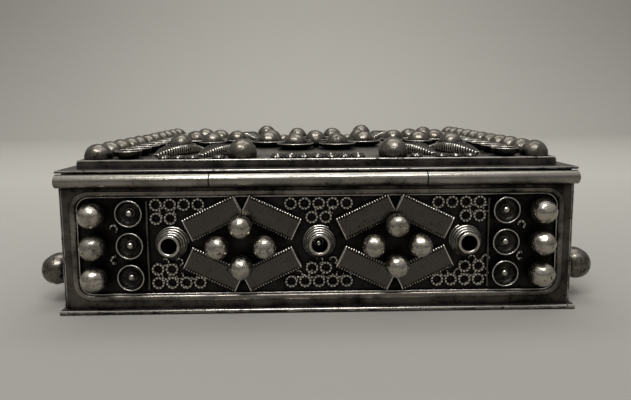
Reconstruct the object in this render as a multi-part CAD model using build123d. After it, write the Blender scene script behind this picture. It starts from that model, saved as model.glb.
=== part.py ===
# Silver amulet box with a hinged lid, covered in balls, cups, wound wire and filigree rings.
# X runs along the length, the hinge is on the -Y side, and Z is up from the underside of the base.

import os
from math import cos, dist, pi, radians, sin, sqrt

from build123d import *

# Shell of the box
shell_length = 120.0
shell_depth = 82.2
sheet = 0.8
base_thickness = 1.1
base_edge_round = 0.35
base_overhang_ends = 0.4
base_overhang_sides = 1.2
rim_height = 33.8

# Raised frame on each wall
frame_thickness = 0.9
frame_stile = 2.9
window_bottom = 4.0
plain_rail = 4.8
frame_top_gap = 0.6
bead_width = 0.6
bead_rise = 1.2
bead_corner = 3.6

# Hinge
barrel_radius = 1.6
barrel_gap = 0.1
barrel_drop = 1.8
barrel_overhang = 0.4
lid_knuckle_length = 50.0
knuckle_gap = 0.3
pin_radius = 0.8
pin_clearance = 0.05
leaf_thickness = 0.6
leaf_height = 1.8
leaf_gap = 0.15

# Lid
flange_thickness = 0.6
flange_edge_round = 0.2
flange_overhang = 0.8
step_inset = 2.8
step_height = 1.4
band_width = 1.6
top_thickness = 0.6
top_edge_round = 0.3
rim_thickness = 0.8
rim_clearance = 0.3
rim_lift = 0.1

# Columns of three balls at the ends of the long walls
ornament_lift = 0.4
column_margin = 0.63
column_gap = 1.36
column_ball_inset = 7.6
ball_flat = 0.25

# Columns of three cups with a grain in each
cup_margin = 0.35
cup_gap = 1.25
cup_base_radius = 2.2
cup_height = 2.0
cup_wall = 0.4
cup_inset = 15.8
grain_radius = 0.9
grain_flat = 0.15

# Cones of wound wire
cone_wire = 0.56
cone_gap = 0.25
cone_side_gap = 0.9
cone_draw = 1.85
cone_rise = 3.2
cone_turns = 3

# Diamonds of wound strip round four balls
diamond_lean = 1.3
strip_slope = 25.5
strip_width = 5.2
strip_wire = 0.53
strip_thickness = 1.3
strip_side_gap = 0.28
strip_top_gap = 0.135
strip_mid_gap = 0.85
strip_end_gap = 0.4
diamond_ball_radius = 2.87
diamond_ball_u = 5.4
diamond_ball_gap = 1.54
seat_radius = 1.2
seat_height = 1.1
seat_sink = 0.12

# Filigree rings and divider wires
ring_radius = 1.55
ring_wire = 0.6
ring_lift = 0.02
ring_gap = 0.2
divider_wire = 0.6
divider_inset = 19.55
divider_margin = 1.4

# End walls
end_cup_inset = 7.0
end_cone_gap = 5.95
corner_ball_radius = 4.0
corner_ball_inset = 6.6
corner_ball_height = 8.6
corner_seat_radius = 1.6
corner_seat_height = 1.5
end_ring_gap = 1.85
end_ring_count = 4

# Ornament of the lid, measured from the middle of its top plate
dome_radius = 3.35
dome_lift = 0.45
dome_inset = 3.7
dome_margin = 0.3
dome_gap = 0.3
lid_cup_radius = 3.2
lid_cup_inset = 11.0
lid_field_gap = 0.7
lid_edge_margin = 3.05
edge_ball_radius = 3.7
edge_ball_lift = 1.0
edge_ball_u = 18.55
edge_ball_inset = 3.9
lid_strip_turns = 32
lid_strip_crown = 1.4
lid_strip_angle = 120.0
lid_strip_places = [(36.0, -26.5), (24.75, -27.5)]
bowl_wall = 0.4
bowl_height = 1.8
bowl_base_radius = 3.75
bowl_ball_radius = 3.4
bowl_ball_lift = 0.9
rosette_radius = 15.7
rosette_count = 8
rosette_bowl_radius = 5.4
small_bowl_radius = 4.2
cluster_offset = 31.5
cluster_reach = 6.6
lone_bowl_u = 38.5
lone_bowl_v = 16.5
small_ball_radius = 1.8
small_ball_flat = 0.2
small_ball_reach = 10.2
edge_ring_columns = 4
strip_end_rings = [24.0, 30.2, 33.6, 37.0]

# Heights and faces that follow from the sizes above
half_length = shell_length / 2
half_depth = shell_depth / 2
hinge_face = -half_depth
barrel_y = hinge_face - barrel_gap - barrel_radius
barrel_height = rim_height - barrel_drop
window_top = rim_height - frame_top_gap - plain_rail
plain_rail_top = window_top + plain_rail
hinge_rail_top = barrel_height - leaf_height
bore_radius = pin_radius + pin_clearance
step_bottom = rim_height + flange_thickness
top_bottom = step_bottom + step_height
lid_top = top_bottom + top_thickness
step_half_length = half_length - step_inset
step_half_depth = half_depth + frame_thickness - step_inset

# Ornament that fills the height of the windows, measured from the middle of the ornament
ornament_mid = (window_bottom + window_top) / 2 + ornament_lift
ornament_half = window_top - bead_width - ornament_mid
column_ball_radius = (ornament_half - column_margin - column_gap) / 3
column_ball_pitch = 2 * column_ball_radius + column_gap
cup_radius = (ornament_half - cup_margin - cup_gap) / 3
cup_pitch = 2 * cup_radius + cup_gap
ring_pitch = 2 * ring_radius + ring_gap
ring_row = ornament_half - ring_gap - ring_radius
inner_ring_row = ring_row - ring_pitch
cone_base_radius = inner_ring_row - ring_radius - cone_gap
cone_top_radius = cone_base_radius - cone_draw

# Places along the walls, from the middle of each wall
ball_u = half_length - column_ball_inset
cup_u = half_length - cup_inset
divider_u = half_length - divider_inset
cone_u = divider_u - divider_wire / 2 - cone_side_gap - cone_base_radius
diamond_u = (cone_u + diamond_lean) / 2
end_cup_u = half_depth - end_cup_inset
end_cone_u = end_cup_u - cup_radius - end_cone_gap - cone_base_radius
end_ring_u = end_cup_u - cup_radius - end_ring_gap - ring_radius

# Sloping strips of a diamond: how far their inner and outer edges lie from its middle
lean_cos = cos(radians(strip_slope))
lean_sin = sin(radians(strip_slope))
strip_top = ornament_half - strip_top_gap
strip_inner = strip_side_gap * lean_sin + strip_top * lean_cos - strip_width * lean_cos**2
strip_outer = strip_inner + strip_width
diamond_ball_v = (strip_inner - diamond_ball_gap) / lean_cos

# Lid: rows of the side columns, and how far the pattern between them is drawn in to fit
dome_span = 2 * (step_half_depth - dome_margin - dome_radius)
dome_count = int(dome_span / (2 * dome_radius + dome_gap)) + 1
dome_pitch = dome_span / (dome_count - 1)
dome_u = step_half_length - dome_inset
lid_cup_u = step_half_length - lid_cup_inset
lid_strip_length = lid_strip_turns * strip_wire
lid_strip_sin = abs(sin(radians(lid_strip_angle)))
lid_strip_cos = abs(cos(radians(lid_strip_angle)))
lid_strip_reach = lid_strip_length / 2 * lid_strip_sin + strip_width / 2 * lid_strip_cos
pattern_u = cluster_offset + cluster_reach + small_bowl_radius
pattern_v = max(abs(v) for u, v in lid_strip_places) + lid_strip_reach
field_u = lid_cup_u - lid_cup_radius - lid_field_gap
field_v = step_half_depth - lid_edge_margin
lid_fit = min(field_u / pattern_u, field_v / pattern_v)

# Planes on the outer faces of the walls and on the lid: x along the face, y up or across, z outwards
hinge_plane = Plane(origin=(0, -half_depth, 0), x_dir=(1, 0, 0), z_dir=(0, -1, 0))
front_plane = Plane(origin=(0, half_depth, 0), x_dir=(-1, 0, 0), z_dir=(0, 1, 0))
left_plane = Plane(origin=(-half_length, 0, 0), x_dir=(0, -1, 0), z_dir=(-1, 0, 0))
right_plane = Plane(origin=(half_length, 0, 0), x_dir=(0, 1, 0), z_dir=(1, 0, 0))
lid_plane = Plane(origin=(0, 0, lid_top), x_dir=(1, 0, 0), z_dir=(0, 0, 1))

os.makedirs("parts", exist_ok=True)


def save(name, shapes):
    solids = [solid for shape in shapes for solid in shape.solids()]
    export_step(Compound(solids), f"parts/{name}.step")
    return solids


def on(plane, shape, places, height=0.0):
    return [plane.location * Pos(u, v, height) * shape for u, v in places]


def block(low, high):
    size = [b - a for a, b in zip(low, high)]
    middle = [(a + b) / 2 for a, b in zip(low, high)]
    return Pos(*middle) * Box(*size)


def worn_plate(half_x, half_y, bottom, top, edge_round):
    # A sheet whose upper edges are rounded by wear.
    plate = block((-half_x, -half_y, bottom), (half_x, half_y, top))
    return fillet(plate.faces().sort_by(Axis.Z)[-1].edges(), edge_round)


def mirrored(places):
    # All four mirror images of each place, without repeats on the axes.
    images = []
    for u, v in places:
        for image in [(u, v), (-u, v), (u, -v), (-u, -v)]:
            if image not in images:
                images.append(image)
    return images


def raised(places):
    # Places about the middle of the ornament, measured from the underside of the base.
    return [(u, ornament_mid + v) for u, v in places]


def spun(*edges):
    outline = Curve() + list(edges)
    return revolve(make_face(Plane.XZ * outline), Axis.Z)


def flat_ball(radius, seat, centre):
    # A ball with a flat on its underside at the seat's height.
    flat = sqrt(radius**2 - (centre - seat) ** 2)
    top = centre + radius
    return spun(
        Line((0, top), (0, seat)),
        Line((0, seat), (flat, seat)),
        ThreePointArc((flat, seat), (radius, centre), (0, top)),
    )


def dish(rim, base, height, wall):
    return spun(
        Polyline(
            (0, 0),
            (base, 0),
            (rim, height),
            (rim - wall, height),
            (base - wall, wall),
            (0, wall),
            close=True,
        )
    )


def biarc(start, start_way, end, end_way):
    # Two tangent arcs from one place and direction to the next, or a line where they are in line.
    chord = end - start
    if chord.cross(start_way).length < 1e-6:
        return [Edge.make_line(start, end)]
    both = start_way + end_way
    spread = 2 * (1 - start_way.dot(end_way))
    lean = chord.dot(both)
    reach = (sqrt(lean**2 + spread * chord.dot(chord)) - lean) / spread
    first = start + start_way * reach
    second = end - end_way * reach
    middle = (first + second) * 0.5
    return [
        Edge.make_tangent_arc(start, start_way, middle),
        Edge.make_tangent_arc(middle, second - first, end),
    ]


def wound_wire(knots, wire, samples_per_knot):
    # One unbroken wire through the knots. The least gap between its turns is measured and printed.
    edges = []
    for (start, start_way), (end, end_way) in zip(knots, knots[1:]):
        edges += biarc(start, start_way, end, end_way)
    path = Wire(edges)
    start, way = knots[0]
    solid = sweep(Plane(origin=start, z_dir=way) * Circle(wire / 2), path=path)
    count = samples_per_knot * (len(knots) - 1)
    points = [tuple(path.position_at(i / count)) for i in range(count + 1)]
    skip = int(4 * wire / path.length * count) + 1
    near = min(dist(points[i], points[j]) for i in range(count + 1) for j in range(i + skip, count + 1))
    filled = solid.volume / (pi * (wire / 2) ** 2 * path.length)
    print(f"cone: least gap {near - wire:.3f} mm, volume over section times length {filled:.4f}")
    return solid


def wound_strip(turns, width, crown=0.0):
    # A flat bar, along x, with a half-round rib for each tight turn of its wire, higher in the middle by its crown.
    half = turns * strip_wire / 2
    flat_edge = strip_thickness - strip_wire / 2

    def edge(x):
        return flat_edge + crown * (1 - (x / half) ** 2)

    ribs = []
    for i in range(turns):
        near = -half + i * strip_wire
        far = near + strip_wire
        middle = (near + far) / 2
        top = edge(middle) + strip_wire / 2
        ribs.append(ThreePointArc((near, edge(near)), (middle, top), (far, edge(far))))
    sides = Polyline((half, edge(half)), (half, 0), (-half, 0), (-half, edge(-half)))
    profile = make_face(Plane.XZ * (Curve() + ribs + [sides]))
    return extrude(profile, width / 2, both=True)


def cone_coil():
    # A wire wound up a cone, from the sheet to the open ring at the top.
    low_radius = cone_base_radius - cone_wire / 2
    high_radius = cone_top_radius - cone_wire / 2
    steps = 4 * cone_turns
    rise = (cone_rise - cone_wire) / steps
    draw = (high_radius - low_radius) / steps
    knots = []
    for i in range(steps + 1):
        angle = i * pi / 2
        radius = low_radius + draw * i
        place = Vector(radius * cos(angle), radius * sin(angle), cone_wire / 2 + rise * i)
        turn = Vector(-sin(angle), cos(angle), 0) * (radius * pi / 2)
        way = turn + Vector(cos(angle), sin(angle), 0) * draw + Vector(0, 0, rise)
        knots.append((place, way.normalized()))
    start, start_way = knots[0]
    end, end_way = knots[-1]
    flat_way = Vector(start_way.X, start_way.Y, 0).normalized()
    knots[0] = (start, flat_way)
    knots.insert(0, (start - flat_way * cone_wire, flat_way))
    knots.append((end + end_way * cone_wire, end_way))
    return wound_wire(knots, cone_wire, 12)


# Shell: base plate and four sheets between it and the lid
base_x = half_length + frame_thickness + base_overhang_ends
base_y = half_depth + frame_thickness + base_overhang_sides
save("base_plate", [worn_plate(base_x, base_y, 0, base_thickness, base_edge_round)])
inner_x = half_length - sheet
inner_y = half_depth - sheet
long_sheet = block((-half_length, inner_y, base_thickness), (half_length, half_depth, rim_height))
end_sheet = block((inner_x, -inner_y, base_thickness), (half_length, inner_y, rim_height))
save("hinge_wall", [mirror(long_sheet, about=Plane.XZ)])
save("front_wall", [long_sheet])
save("left_wall", [mirror(end_sheet, about=Plane.YZ)])
save("right_wall", [end_sheet])


def wall_frame(half_width, top):
    # Four mitred bars round the window, flat against the sheet.
    inside = half_width - frame_stile
    bottom = base_thickness
    outer = [(-half_width, bottom), (half_width, bottom), (half_width, top), (-half_width, top)]
    inner = [(-inside, window_bottom), (inside, window_bottom), (inside, window_top), (-inside, window_top)]
    bars = []
    for i in range(4):
        j = (i + 1) % 4
        bar = make_face(Polyline(outer[i], outer[j], inner[j], inner[i], close=True))
        bars.append(extrude(bar, frame_thickness))
    return bars


def wall_bead(half_width):
    # A bead along the inner edge of the window, with rounded corners.
    width = 2 * (half_width - frame_stile)
    height = window_top - window_bottom
    ring = RectangleRounded(width, height, bead_corner)
    hole = RectangleRounded(width - 2 * bead_width, height - 2 * bead_width, bead_corner - bead_width)
    return Pos(0, (window_bottom + window_top) / 2, 0) * extrude(ring - hole, bead_rise)


frames = [
    ("hinge_wall", hinge_plane, half_length, hinge_rail_top),
    ("front_wall", front_plane, half_length, plain_rail_top),
    ("left_wall", left_plane, half_depth, plain_rail_top),
    ("right_wall", right_plane, half_depth, plain_rail_top),
]
for wall, plane, half_width, frame_top in frames:
    save(f"{wall}_frame", [plane.location * bar for bar in wall_frame(half_width, frame_top)])
    save(f"{wall}_bead", [plane.location * wall_bead(half_width)])

# Hinge: two outer knuckles on the box, one middle knuckle on the lid, and the pin
barrel_half = half_length + barrel_overhang
lid_knuckle_half = lid_knuckle_length / 2
barrel_axis = Plane(origin=(0, barrel_y, barrel_height), x_dir=(0, 1, 0), z_dir=(1, 0, 0))


def knuckle(start, end, leaf_low, leaf_high, gap):
    # A tube from start to end along X, with a leaf beside the wall.
    tube = extrude(Circle(barrel_radius), end - start)
    bore = extrude(Circle(bore_radius), end - start)
    face = hinge_face - gap
    leaf_end = min(end, half_length)
    leaf_start = max(start, -half_length)
    leaf = block((leaf_start, face - leaf_thickness, leaf_low), (leaf_end, face, leaf_high))
    place = barrel_axis.location * Pos(0, 0, start)
    return place * tube + leaf - place * bore


box_start = lid_knuckle_half + knuckle_gap
right_knuckle = knuckle(box_start, barrel_half, hinge_rail_top, barrel_height, 0)
save("hinge_knuckle_right", [right_knuckle])
save("hinge_knuckle_left", [mirror(right_knuckle, about=Plane.YZ)])
save("lid_knuckle", [knuckle(-lid_knuckle_half, lid_knuckle_half, barrel_height, rim_height, leaf_gap)])
pin = extrude(Circle(pin_radius), 2 * barrel_half)
save("hinge_pin", [barrel_axis.location * Pos(0, 0, -barrel_half) * pin])

# Small pieces that repeat
column_ball = flat_ball(column_ball_radius, 0, column_ball_radius - ball_flat)
cup = dish(cup_radius, cup_base_radius, cup_height, cup_wall)
grain = flat_ball(grain_radius, 0, grain_radius - grain_flat)
diamond_ball = flat_ball(diamond_ball_radius, seat_height, seat_height + diamond_ball_radius - seat_sink)
ball_seat = extrude(Circle(seat_radius), seat_height)
corner_ball_lift = corner_seat_height + corner_ball_radius - ball_flat
corner_ball = flat_ball(corner_ball_radius, corner_seat_height, corner_ball_lift)
corner_seat = extrude(Circle(corner_seat_radius), corner_seat_height)
ring = Pos(0, 0, ring_wire / 2 + ring_lift) * Torus(ring_radius - ring_wire / 2, ring_wire / 2)
coil = cone_coil()

diamond_ball_places = [(diamond_ball_u, 0), (-diamond_ball_u, 0), (0, diamond_ball_v), (0, -diamond_ball_v)]


def turns_beside(room):
    # Turns of a strip that ends clear of the strip below it and of a cone this far away.
    by_height = (strip_top - strip_mid_gap - strip_width * lean_cos) / lean_sin
    inner_end = (strip_side_gap + strip_width * lean_sin) * lean_cos - strip_top * lean_sin
    by_cone = room * lean_cos - cone_base_radius - strip_end_gap - inner_end
    return int(min(by_height, by_cone) / strip_wire)


def diamond(plane, centre, turns):
    # Four strips round the middle of a diamond.
    half = turns * strip_wire / 2
    offset_u = strip_side_gap + half * lean_cos + strip_width / 2 * lean_sin
    offset_v = strip_top - half * lean_sin - strip_width / 2 * lean_cos
    strip = wound_strip(turns, strip_width)
    strips = []
    for side_u in (1, -1):
        for side_v in (1, -1):
            place = Pos(centre + side_u * offset_u, ornament_mid + side_v * offset_v, 0)
            strips.append(plane.location * place * Rot(0, 0, -side_u * side_v * strip_slope) * strip)
    return strips


def clear_rings(places, centre, turns):
    # The places where a ring keeps its gap to the strips of a diamond.
    inner_end = (strip_side_gap + strip_width * lean_sin) * lean_cos - strip_top * lean_sin
    clear = []
    for u, v in places:
        beside = abs(u - centre) * lean_sin + v * lean_cos - strip_outer
        past = abs(u - centre) * lean_cos - v * lean_sin - inner_end - turns * strip_wire
        if max(beside, past) > ring_radius + ring_gap / 2:
            clear.append((u, v))
    return clear


def long_wall_ornament(wall, plane):
    save(
        f"{wall}_balls",
        on(plane, column_ball, raised(mirrored([(ball_u, 0), (ball_u, column_ball_pitch)]))),
    )
    cups = raised(mirrored([(cup_u, 0), (cup_u, cup_pitch)]))
    save(f"{wall}_cups", on(plane, cup, cups))
    grains = on(plane, grain, cups, cup_wall) + on(plane, grain, raised([(0, 0)]))
    save(f"{wall}_grains", grains)
    save(f"{wall}_cones", on(plane, coil, raised([(-cone_u, 0), (0, 0), (cone_u, 0)])))
    centres = (-diamond_u, diamond_u)
    turns = turns_beside(min(diamond_u, cone_u - diamond_u))
    save(f"{wall}_strips", [strip for centre in centres for strip in diamond(plane, centre, turns)])
    balls = raised([(centre + u, v) for centre in centres for u, v in diamond_ball_places])
    save(f"{wall}_diamond_balls", on(plane, diamond_ball, balls))
    save(f"{wall}_ball_seats", on(plane, ball_seat, balls))
    beside_cone = [(cone_u + i * ring_pitch, ring_row) for i in (1, 0, -1, -2)]
    beside_cone += [(cone_u + i * ring_pitch, inner_ring_row) for i in (0, 1)]
    above_middle = [(i * ring_pitch, ring_row) for i in (0, 1, 2)]
    above_middle.append((ring_pitch / 2, inner_ring_row))
    places = clear_rings(beside_cone + above_middle, diamond_u, turns)
    rings = on(plane, ring, raised(mirrored(places)))
    low = window_bottom + divider_margin
    divider = extrude(Circle(divider_wire / 2), window_top - window_bottom - 2 * divider_margin)
    upright = Pos(0, low, divider_wire / 2 + ring_lift) * Rot(-90, 0, 0) * divider
    dividers = on(plane, upright, [(divider_u, 0), (-divider_u, 0)])
    save(f"{wall}_filigree", rings + dividers)


long_wall_ornament("hinge_wall", hinge_plane)
long_wall_ornament("front_wall", front_plane)

# Ornament of the two end walls
end_planes = (left_plane, right_plane)


def on_ends(shape, places, height=0.0):
    return [piece for plane in end_planes for piece in on(plane, shape, places, height)]


end_cups = raised([(side * end_cup_u, v) for side in (1, -1) for v in (0, cup_pitch)])
save("end_wall_cups", on_ends(cup, end_cups))
save("end_wall_grains", on_ends(grain, end_cups, cup_wall))
save("end_wall_cones", on_ends(coil, raised([(end_cone_u, 0), (-end_cone_u, 0)])))
end_turns = turns_beside(end_cone_u)
save("end_wall_strips", [strip for plane in end_planes for strip in diamond(plane, 0, end_turns)])
save("end_wall_diamond_balls", on_ends(diamond_ball, raised(diamond_ball_places)))
save("end_wall_ball_seats", on_ends(ball_seat, raised(diamond_ball_places)))
corner_ball_u = half_depth - corner_ball_inset
corner_places = [(corner_ball_u, corner_ball_height), (-corner_ball_u, corner_ball_height)]
save("corner_balls", on_ends(corner_ball, corner_places))
save("corner_ball_seats", on_ends(corner_seat, corner_places))
end_rings = [(end_ring_u - i * ring_pitch, ring_row) for i in range(end_ring_count)]
end_rings += [(end_ring_u - i * ring_pitch, inner_ring_row) for i in range(end_ring_count - 1)]
save("end_wall_filigree", on_ends(ring, raised(mirrored(clear_rings(end_rings, 0, end_turns)))))

# Lid: flange that rests on the walls, step band, top plate and the rim that closes inside the walls
flange_x = half_length + flange_overhang
flange_y = half_depth + frame_thickness + flange_overhang
save("lid_flange", [worn_plate(flange_x, flange_y, rim_height, step_bottom, flange_edge_round)])
save("lid_top_plate", [worn_plate(step_half_length, step_half_depth, top_bottom, lid_top, top_edge_round)])


def mitred_ring(low, high, width, bottom, top):
    # Four mitred bars inside the rectangle from low to high.
    outer = [(low[0], low[1]), (high[0], low[1]), (high[0], high[1]), (low[0], high[1])]
    inner = [
        (low[0] + width, low[1] + width),
        (high[0] - width, low[1] + width),
        (high[0] - width, high[1] - width),
        (low[0] + width, high[1] - width),
    ]
    bars = []
    for i in range(4):
        j = (i + 1) % 4
        bar = make_face(Polyline(outer[i], outer[j], inner[j], inner[i], close=True))
        bars.append(Pos(0, 0, bottom) * extrude(bar, top - bottom))
    return bars


step_corner = (step_half_length, step_half_depth)
step_start = (-step_half_length, -step_half_depth)
save("lid_step_band", mitred_ring(step_start, step_corner, band_width, step_bottom, top_bottom))
rim_bottom = barrel_height + rim_lift
rim_x = inner_x - rim_clearance
swing = sqrt((-inner_y - barrel_y) ** 2 + (rim_height - barrel_height) ** 2)
rim_low = (-rim_x, barrel_y + swing + rim_clearance)
rim_high = (rim_x, inner_y - rim_clearance)
save("lid_inner_rim", mitred_ring(rim_low, rim_high, rim_thickness, rim_bottom, rim_height))

# Ornament of the lid: a column of domes and one of cups at each end, and the pattern between them


def fitted(places):
    return [(lid_fit * u, lid_fit * v) for u, v in places]


def fitted_ball(radius, seat, lift):
    return flat_ball(lid_fit * radius, seat, seat + lid_fit * lift)


def fitted_bowl(radius):
    return dish(lid_fit * radius, lid_fit * bowl_base_radius, lid_fit * bowl_height, bowl_wall)


dome = flat_ball(dome_radius, 0, dome_lift)
dome_rows = [(i - (dome_count - 1) / 2) * dome_pitch for i in range(dome_count)]
save("lid_domes", on(lid_plane, dome, [(side * dome_u, v) for side in (1, -1) for v in dome_rows]))
lid_cup = dish(lid_cup_radius, cup_base_radius, cup_height, cup_wall)
lid_cup_places = [(side * lid_cup_u, v) for side in (1, -1) for v in dome_rows]
save("lid_cups", on(lid_plane, lid_cup, lid_cup_places))
save("lid_grains", on(lid_plane, grain, lid_cup_places, cup_wall))
edge_ball = fitted_ball(edge_ball_radius, 0, edge_ball_lift)
edge_ball_v = step_half_depth - lid_fit * edge_ball_inset
save("lid_edge_balls", on(lid_plane, edge_ball, mirrored([(lid_fit * edge_ball_u, edge_ball_v)])))
lid_strip = wound_strip(round(lid_fit * lid_strip_turns), lid_fit * strip_width, lid_strip_crown)
lid_strips = []
for u, v in fitted(lid_strip_places):
    for side_u in (1, -1):
        for side_v in (1, -1):
            place = Pos(side_u * u, side_v * v, 0)
            turn = Rot(0, 0, side_u * side_v * lid_strip_angle)
            lid_strips.append(lid_plane.location * place * turn * lid_strip)
save("lid_strips", lid_strips)
rosette = []
between = []
for i in range(rosette_count):
    angle = (i + 0.5) * 2 * pi / rosette_count
    rosette.append((rosette_radius * cos(angle), rosette_radius * sin(angle)))
    angle = i * 2 * pi / rosette_count
    between.append((small_ball_reach * cos(angle), small_ball_reach * sin(angle)))
cluster = [
    (cluster_offset, cluster_reach),
    (cluster_offset + cluster_reach, 0),
    (cluster_offset - cluster_reach, 0),
]
small_places = [(0, 0)] + mirrored(cluster + [(lone_bowl_u, lone_bowl_v)])
rosette_bowls = on(lid_plane, fitted_bowl(rosette_bowl_radius), fitted(rosette))
small_bowls = on(lid_plane, fitted_bowl(small_bowl_radius), fitted(small_places))
save("lid_bowls", rosette_bowls + small_bowls)
bowl_ball = fitted_ball(bowl_ball_radius, bowl_wall, bowl_ball_lift)
save("lid_bowl_balls", on(lid_plane, bowl_ball, fitted(rosette + small_places)))
small_ball = fitted_ball(small_ball_radius, 0, small_ball_radius - small_ball_flat)
save("lid_small_balls", on(lid_plane, small_ball, fitted(between)))
lid_ring = Pos(0, 0, ring_wire / 2 + ring_lift) * Torus(lid_fit * ring_radius - ring_wire / 2, ring_wire / 2)
edge_row = step_half_depth - top_edge_round - ring_gap - lid_fit * ring_radius
inner_edge_row = edge_row - lid_fit * ring_pitch
edge_rings = []
for i in range(edge_ring_columns):
    edge_rings += [(lid_fit * i * ring_pitch, row) for row in (edge_row, inner_edge_row)]
edge_rings += [(lid_fit * u, edge_row) for u in strip_end_rings]
save("lid_filigree", on(lid_plane, lid_ring, mirrored(edge_rings)))
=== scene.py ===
import math

import bpy
from mathutils import Matrix, Vector


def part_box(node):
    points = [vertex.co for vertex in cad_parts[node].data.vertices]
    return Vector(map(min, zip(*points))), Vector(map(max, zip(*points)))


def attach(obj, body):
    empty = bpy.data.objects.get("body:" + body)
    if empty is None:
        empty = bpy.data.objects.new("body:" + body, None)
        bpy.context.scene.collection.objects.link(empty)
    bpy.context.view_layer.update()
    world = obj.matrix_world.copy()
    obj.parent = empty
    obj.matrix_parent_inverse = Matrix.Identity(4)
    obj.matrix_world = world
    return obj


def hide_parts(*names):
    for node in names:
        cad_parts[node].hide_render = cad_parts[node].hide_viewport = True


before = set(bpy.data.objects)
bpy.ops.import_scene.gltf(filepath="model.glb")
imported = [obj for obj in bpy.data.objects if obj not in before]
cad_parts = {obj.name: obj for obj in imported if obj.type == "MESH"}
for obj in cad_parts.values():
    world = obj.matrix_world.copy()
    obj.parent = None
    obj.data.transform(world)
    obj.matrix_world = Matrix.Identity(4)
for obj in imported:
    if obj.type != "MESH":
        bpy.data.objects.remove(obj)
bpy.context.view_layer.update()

scene = bpy.context.scene
scene.view_settings.view_transform = "Standard"
mm = 0.001
mergeAt = {"piece": 1e-7, "solid": 1e-6}  # points closer than this become one, in metres


# small helpers, each one a step done by hand in the viewport
def clearSelection():
    if bpy.context.mode != "OBJECT":
        bpy.ops.object.mode_set(mode="OBJECT")
    bpy.ops.object.select_all(action="DESELECT")


def pick(piece):
    clearSelection()
    piece.select_set(True)
    bpy.context.view_layer.objects.active = piece


def settle(piece):  # place, turn and scale go into the mesh
    pick(piece)
    bpy.ops.object.transform_apply(location=True, rotation=True, scale=True)


def fresh(scale=(1, 1, 1)):  # the primitive that was just added, scaled and settled
    piece = bpy.context.active_object
    piece.scale = scale
    settle(piece)
    return piece


def editMesh(piece, select="SELECT"):
    pick(piece)
    bpy.ops.object.mode_set(mode="EDIT")
    bpy.ops.mesh.select_all(action=select)


def leaveEdit():
    bpy.ops.object.mode_set(mode="OBJECT")


def selectWhere(piece, kind, test):  # kind is vertices or edges; test gets the element
    editMesh(piece, "DESELECT")
    bpy.ops.mesh.select_mode(type={"vertices": "VERT", "edges": "EDGE"}[kind])
    leaveEdit()
    for element in getattr(piece.data, kind):
        element.select = test(element)
    bpy.ops.object.mode_set(mode="EDIT")


def span(piece, edge, axis):  # how far an edge goes along an axis
    first, last = (piece.data.vertices[i].co[axis] for i in edge.vertices)
    return abs(first - last)


def saw(piece, point, normal, **side):  # one side of the plane goes, and the cut is closed
    editMesh(piece)
    bpy.ops.mesh.bisect(plane_co=point, plane_no=normal, use_fill=True, **side)
    leaveEdit()


def addModifier(piece, kind, **values):
    pick(piece)
    modifier = piece.modifiers.new(kind.lower(), kind)
    for name, value in values.items():
        setattr(modifier, name, value)
    bpy.ops.object.modifier_apply(modifier=modifier.name)


def joined(pieces, name):
    clearSelection()
    for piece in pieces:
        piece.select_set(True)
    bpy.context.view_layer.objects.active = pieces[0]
    if len(pieces) > 1:
        bpy.ops.object.join()
    piece = bpy.context.active_object
    piece.name = name
    piece.data.name = name
    return piece


def setOut(master, places, name):  # one copy of the master at each place, each with its own mesh
    copies = []
    for place in places:
        copy = master.copy()
        copy.data = master.data.copy()
        scene.collection.objects.link(copy)
        copy.data.transform(place)
        copies.append(copy)
    bpy.data.objects.remove(master)
    return joined(copies, name)


def smooth(piece, degrees):
    pick(piece)
    bpy.ops.object.shade_smooth_by_angle(angle=math.radians(degrees))


def outwards(piece):
    editMesh(piece)
    bpy.ops.mesh.remove_doubles(threshold=mergeAt["piece"])
    bpy.ops.mesh.normals_make_consistent(inside=False)
    leaveEdit()


def wireRing(radius, wireRadius, segments, sides, height=0.0):
    bpy.ops.mesh.primitive_torus_add(major_segments=segments, minor_segments=sides, major_radius=radius,
                                     minor_radius=wireRadius, location=(0, 0, height))
    return fresh()


def cutBall(form, radius, centre, cut):  # a ball without what lies below the cut
    bpy.ops.mesh.primitive_uv_sphere_add(segments=form["segments"], ring_count=form["rings"], radius=radius,
                                         location=(0, 0, centre))
    ball = fresh()
    saw(ball, (0, 0, cut), (0, 0, 1), clear_inner=True)
    return ball


def roundWire(panel, radius, resolution):  # the outline of a flat panel becomes a loop of wire
    editMesh(panel)
    bpy.ops.mesh.delete(type="ONLY_FACE")
    leaveEdit()
    bpy.ops.object.convert(target="CURVE")
    loop = bpy.context.active_object
    loop.data.bevel_depth = radius
    loop.data.bevel_resolution = resolution
    bpy.ops.object.convert(target="MESH")
    return bpy.context.active_object


def coat(piece, *silvers):
    for silver in silvers:
        piece.data.materials.append(silver)


def fit(piece, body, slotName, *nodes):  # the body it moves with, a slot name that is not used, and the nodes that it stands for
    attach(piece, body)
    if nodes:
        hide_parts(*nodes)


def dashed(nodeName):
    return nodeName.replace("_", "-")


# where the small solids of a CAD node sit
def faceTurn(nodeName, centre):  # columns: along the face, up the face, out of the face
    if nodeName.startswith("lid"):
        out, up = Vector((0, 0, 1)), Vector((0, 1, 0))
    elif nodeName.startswith("hinge"):
        out, up = Vector((0, -1, 0)), Vector((0, 0, 1))
    elif nodeName.startswith("front"):
        out, up = Vector((0, 1, 0)), Vector((0, 0, 1))
    else:
        out, up = Vector((math.copysign(1, centre.x), 0, 0)), Vector((0, 0, 1))
    along = up.cross(out)
    return Matrix((along, up, out)).transposed().to_4x4()


def reachOf(points):  # the lowest and the highest corner
    low = Vector([min(point[i] for point in points) for i in range(3)])
    high = Vector([max(point[i] for point in points) for i in range(3)])
    return low, high


knownSolids = {}


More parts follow.
